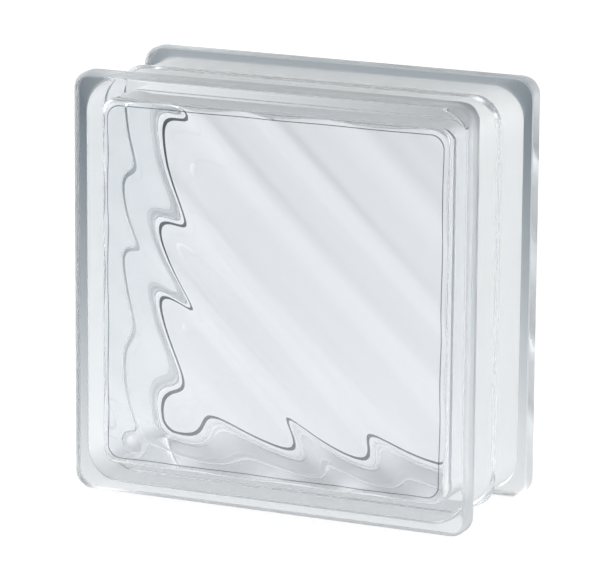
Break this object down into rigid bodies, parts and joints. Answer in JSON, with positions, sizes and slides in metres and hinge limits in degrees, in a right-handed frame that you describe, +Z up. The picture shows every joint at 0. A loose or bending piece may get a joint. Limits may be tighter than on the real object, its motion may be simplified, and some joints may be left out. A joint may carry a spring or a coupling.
{
  "type": "glass block",
  "caption": "Square hollow glass block with diagonal waves inside its faces and a shallow mortar channel round its edge, for translucent walls and windows.",
  "frame": {"origin": "middle of the bottom side, on the plane the block stands on, midway through its thickness", "axes": "+X across the face to the right as seen from the front, +Y through the thickness from the front face to the back face, +Z up"},
  "size_m": [0.19, 0.08, 0.19],
  "materials": {
    "pressed_glass": "clear pressed soda-lime glass, smooth outside, with soft waves inside"
  },
  "bodies": {
    "root": {"front_half_shell": "pressed_glass", "back_half_shell": "pressed_glass"}
  },
  "joints": []
}
